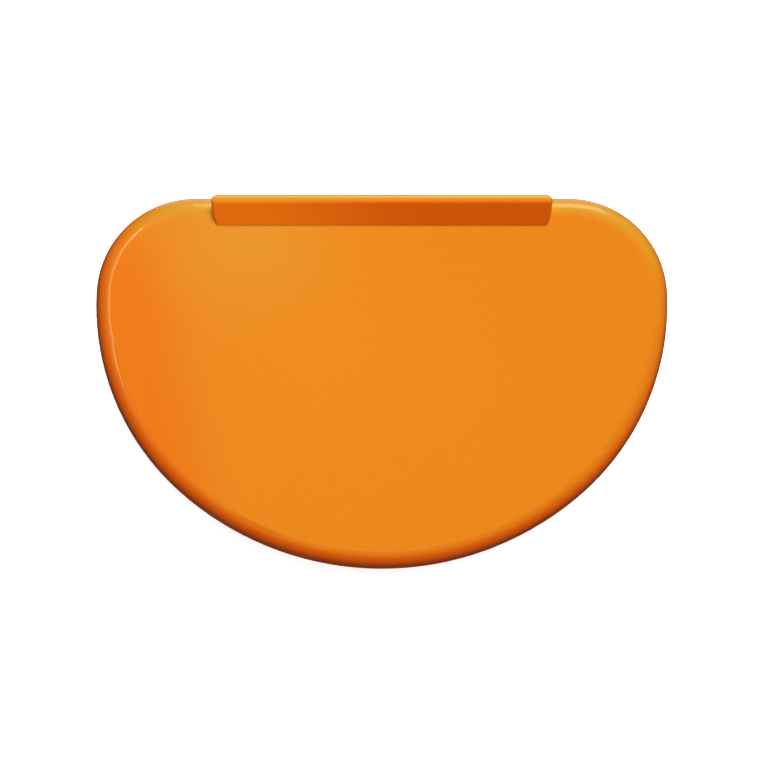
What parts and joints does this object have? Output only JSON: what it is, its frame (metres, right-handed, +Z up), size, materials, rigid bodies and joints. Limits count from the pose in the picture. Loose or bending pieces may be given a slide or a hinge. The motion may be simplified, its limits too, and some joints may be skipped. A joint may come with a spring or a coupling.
{
  "type": "drawing curve",
  "caption": "Thick D-shaped drawing curve with a rolled rim, a straight edge and an upstanding finger lip, on non-slip riser pads.",
  "frame": {"origin": "on the table, under the centre of the bounding box, which is the middle of the D outline", "axes": "+Z up, out of the flat face; +X along the straight edge; +Y out of the straight edge, away from the curved side"},
  "size_m": [0.1522, 0.0987, 0.0119],
  "materials": {
    "shell_plastic": "satin gloss with a very fine orange-peel texture",
    "lip_plastic": "satin gloss",
    "cover_plastic": "fine spark-eroded matt",
    "screw_steel": "bright zinc",
    "pad_rubber": "matt"
  },
  "bodies": {
    "root": {"top_shell": "shell_plastic", "finger_lip": "lip_plastic", "base_cover": "cover_plastic", "cover_screws": "screw_steel", "lip_screws": "screw_steel", "riser_pads": "pad_rubber"}
  },
  "joints": []
}
